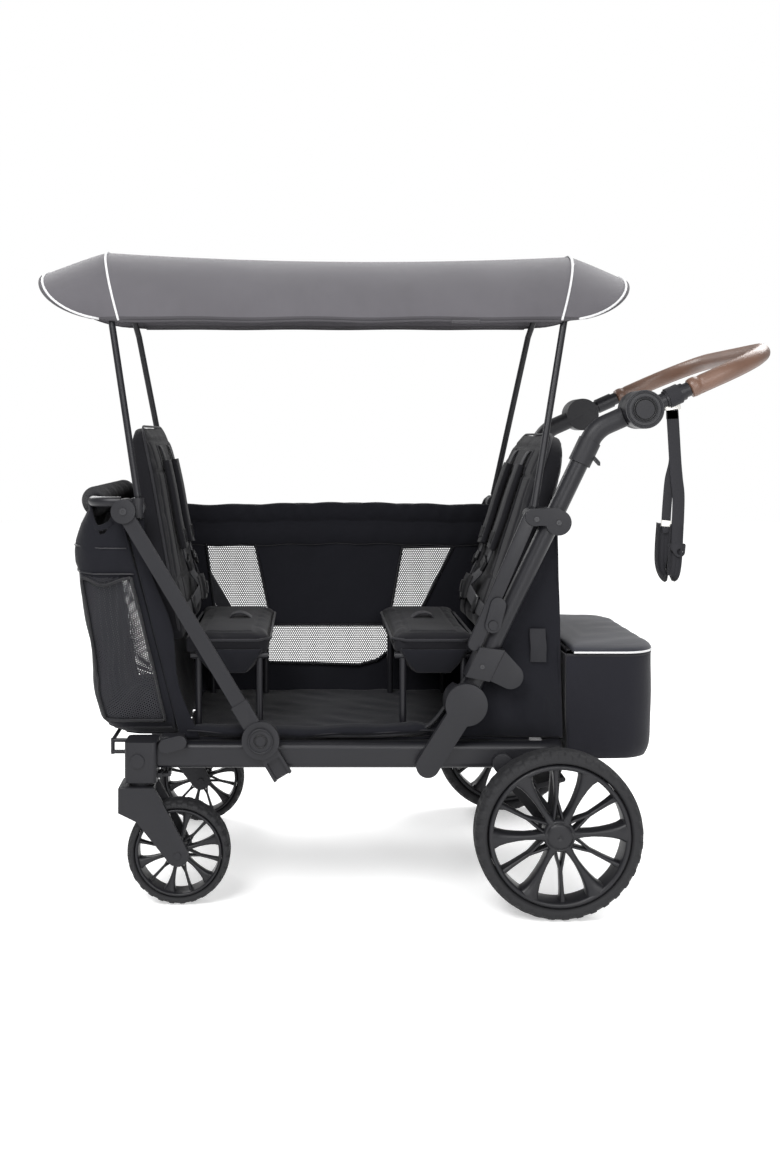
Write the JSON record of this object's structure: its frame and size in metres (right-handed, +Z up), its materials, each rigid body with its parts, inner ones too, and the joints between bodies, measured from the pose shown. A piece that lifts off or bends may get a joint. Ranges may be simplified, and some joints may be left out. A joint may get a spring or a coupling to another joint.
{
  "type": "kids pull wagon",
  "caption": "Folding stroller wagon with facing padded seats, cloth tub, canopy on rods, swivelling front wheels, large rear wheels and a tilting push handle.",
  "frame": {"origin": "on the ground under the middle of the bounding box", "axes": "+X towards the handle, +Y to the side, +Z up"},
  "size_m": [1.3174, 0.65, 1.1505],
  "materials": {
    "tyre": "matte",
    "plastic": "satin",
    "cloth": "matte",
    "padding": "matte",
    "webbing": "matte",
    "canopy": "matte",
    "leather": "satin",
    "steel": "satin",
    "board": "matte",
    "frame": "satin"
  },
  "bodies": {
    "frame": {"rail_left": "frame", "rail_right": "frame", "crossbars": "frame", "floor_board": "board", "corner_blocks": "plastic", "tow_loop": "frame", "rail_bumpers": "plastic", "axle_legs": "plastic", "rear_axle": "steel", "knee_castings": "plastic", "upright_left": "frame", "upright_right": "frame", "link_bars": "frame", "rod_brackets": "plastic", "lower_housings": "plastic", "elbows": "plastic", "seat_hangers": "frame", "latch_plates": "plastic", "strut_left": "frame", "strut_right": "frame", "top_castings": "plastic", "bag_hoop": "frame", "tub_floor": "cloth", "tub_side_left": "cloth", "tub_side_right": "cloth", "tub_ends": "cloth", "front_bag": "cloth", "rear_basket": "cloth", "seat_frames": "frame", "seat_back_front": "padding", "seat_back_rear": "padding", "harness": "webbing", "fasteners": "steel"},
    "rear_wheel_left": {"rear_tyre_left": "tyre", "rear_rim_left": "plastic"},
    "rear_wheel_right": {"rear_tyre_right": "tyre", "rear_rim_right": "plastic"},
    "front_wheel_left": {"front_tyre_left": "tyre", "front_rim_left": "plastic"},
    "front_wheel_right": {"front_tyre_right": "tyre", "front_rim_right": "plastic"},
    "caster_left": {"fork_left": "plastic"},
    "caster_right": {"fork_right": "plastic"},
    "swivel_lock_left": {"swivel_lock_left": "plastic"},
    "swivel_lock_right": {"swivel_lock_right": "plastic"},
    "handle": {"handle_bow": "frame", "handle_grip": "leather", "strap_loop": "webbing"},
    "handle_button_left": {"handle_button_left": "plastic"},
    "handle_button_right": {"handle_button_right": "plastic"},
    "latch_button_left": {"latch_button_left": "frame"},
    "latch_button_right": {"latch_button_right": "frame"},
    "strap": {"wrist_strap": "webbing", "strap_plate": "frame"},
    "lid": {"basket_lid": "padding"},
    "front_seat": {"seat_pan_front": "padding"},
    "rear_seat": {"seat_pan_rear": "padding"},
    "canopy": {"canopy_cloth": "canopy", "canopy_frame": "frame"},
    "brake": {"brake_pedal": "plastic"}
  },
  "joints": [
    {"name": "rear_wheel_spin_left", "type": "hinge", "parent": "frame", "child": "rear_wheel_left", "pos_m": [0.254, -0.3, 0.14], "axis": [0, 1, 0], "continuous": true},
    {"name": "caster_swivel_left", "type": "hinge", "parent": "frame", "child": "caster_left", "pos_m": [-0.448, -0.228, 0.2], "axis": [0, 0, 1], "continuous": true},
    {"name": "front_wheel_spin_left", "type": "hinge", "parent": "caster_left", "child": "front_wheel_left", "pos_m": [-0.384, -0.228, 0.0885], "axis": [0, 1, 0], "continuous": true},
    {"name": "swivel_lock_flip_left", "type": "hinge", "parent": "frame", "child": "swivel_lock_left", "pos_m": [-0.4155, -0.225, 0.219], "axis": [0, 1, 0], "range_deg": [-10, 30]},
    {"name": "handle_button_press_left", "type": "slide", "parent": "handle", "child": "handle_button_left", "axis": [0, 1, 0], "range_m": [0, 0.004], "stiffness_N_per_m": 600},
    {"name": "latch_button_press_left", "type": "slide", "parent": "frame", "child": "latch_button_left", "axis": [0, 1, 0], "range_m": [0, 0.002], "stiffness_N_per_m": 600},
    {"name": "rear_wheel_spin_right", "type": "hinge", "parent": "frame", "child": "rear_wheel_right", "pos_m": [0.254, 0.3, 0.14], "axis": [0, 1, 0], "continuous": true},
    {"name": "caster_swivel_right", "type": "hinge", "parent": "frame", "child": "caster_right", "pos_m": [-0.448, 0.228, 0.2], "axis": [0, 0, 1], "continuous": true},
    {"name": "front_wheel_spin_right", "type": "hinge", "parent": "caster_right", "child": "front_wheel_right", "pos_m": [-0.384, 0.228, 0.0885], "axis": [0, 1, 0], "continuous": true},
    {"name": "swivel_lock_flip_right", "type": "hinge", "parent": "frame", "child": "swivel_lock_right", "pos_m": [-0.4155, 0.225, 0.219], "axis": [0, 1, 0], "range_deg": [-10, 30]},
    {"name": "handle_button_press_right", "type": "slide", "parent": "handle", "child": "handle_button_right", "axis": [0, -1, 0], "range_m": [0, 0.004], "stiffness_N_per_m": 600},
    {"name": "latch_button_press_right", "type": "slide", "parent": "frame", "child": "latch_button_right", "axis": [0, -1, 0], "range_m": [0, 0.002], "stiffness_N_per_m": 600},
    {"name": "handle_tilt", "type": "hinge", "parent": "frame", "child": "handle", "pos_m": [0.40976, 0, 0.84694], "axis": [0, 1, 0], "range_deg": [-10, 60]},
    {"name": "strap_hang", "type": "hinge", "parent": "handle", "child": "strap", "pos_m": [0.46183, -0.248, 0.87012], "axis": [0, 1, 0], "range_deg": [-60, 10]},
    {"name": "lid_open", "type": "hinge", "parent": "frame", "child": "lid", "pos_m": [0.302, 0, 0.4205], "axis": [0, -1, 0], "range_deg": [0, 75]},
    {"name": "front_seat_fold", "type": "hinge", "parent": "frame", "child": "front_seat", "pos_m": [-0.378, 0, 0.4495], "axis": [0, -1, 0], "range_deg": [0, 50]},
    {"name": "rear_seat_fold", "type": "hinge", "parent": "frame", "child": "rear_seat", "pos_m": [0.136, 0, 0.4495], "axis": [0, 1, 0], "range_deg": [0, 50]},
    {"name": "brake_press", "type": "hinge", "parent": "frame", "child": "brake", "pos_m": [0.254, 0, 0.14], "axis": [0, 1, 0], "range_deg": [0, 20]},
    {"name": "canopy_lift", "type": "slide", "parent": "frame", "child": "canopy", "axis": [0, 0, 1], "range_m": [0, 0.04]}
  ],
  "couplings": [
    {"joint": "strap_hang", "follows": "handle_tilt", "ratio": -1}
  ]
}
